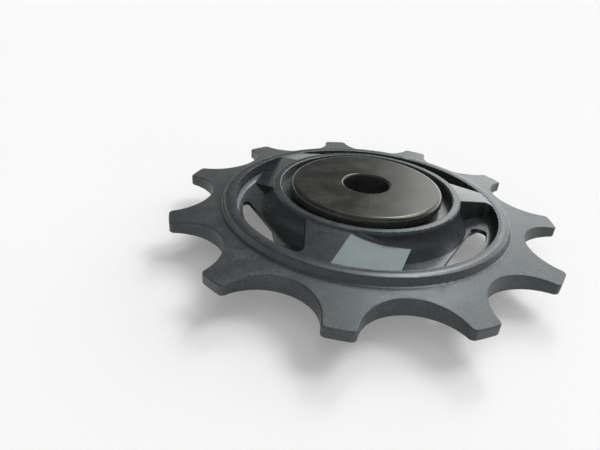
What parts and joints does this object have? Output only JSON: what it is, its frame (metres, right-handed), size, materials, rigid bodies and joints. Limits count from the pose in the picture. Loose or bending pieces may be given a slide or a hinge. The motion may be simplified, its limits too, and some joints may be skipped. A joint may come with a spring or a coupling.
{
  "type": "derailleur jockey wheel",
  "caption": "Black moulded derailleur jockey wheel with blunt chain teeth, a ramped spoked web and a sealed ball bearing behind dust caps, free to spin on its bolt.",
  "frame": {"origin": "middle of the bolt bore, on the middle plane of the teeth", "axes": "+Z along the bore, up out of the face that the picture shows; -Y towards the camera"},
  "size_m": [0.0461, 0.0458, 0.0076],
  "materials": {
    "wheel_plastic": "satin moulded black plastic, a little dusty",
    "cap_plastic": "smooth black plastic with fine rubbed scratches",
    "race_steel": "ground bearing steel",
    "ball_steel": "polished bearing steel",
    "cage_steel": "pressed sheet steel",
    "seal_rubber": "moulded black rubber"
  },
  "bodies": {
    "axle": {"inner_race": "race_steel", "upper_dust_cap": "cap_plastic", "lower_dust_cap": "cap_plastic"},
    "wheel": {"pulley_wheel": "wheel_plastic", "outer_race": "race_steel", "upper_seal": "seal_rubber", "lower_seal": "seal_rubber"},
    "ball_cage": {"upper_cage": "cage_steel", "lower_cage": "cage_steel", "ball_01": "ball_steel", "ball_02": "ball_steel", "ball_03": "ball_steel", "ball_04": "ball_steel", "ball_05": "ball_steel", "ball_06": "ball_steel", "ball_07": "ball_steel", "ball_08": "ball_steel", "ball_09": "ball_steel", "ball_10": "ball_steel", "ball_11": "ball_steel"}
  },
  "joints": [
    {"name": "wheel_spin", "type": "hinge", "parent": "axle", "child": "wheel", "pos_m": [0, 0, 0], "axis": [0, 0, 1], "continuous": true},
    {"name": "cage_orbit", "type": "hinge", "parent": "axle", "child": "ball_cage", "pos_m": [0, 0, 0], "axis": [0, 0, 1], "continuous": true}
  ],
  "couplings": [
    {"joint": "cage_orbit", "follows": "wheel_spin", "ratio": 0.58333}
  ]
}
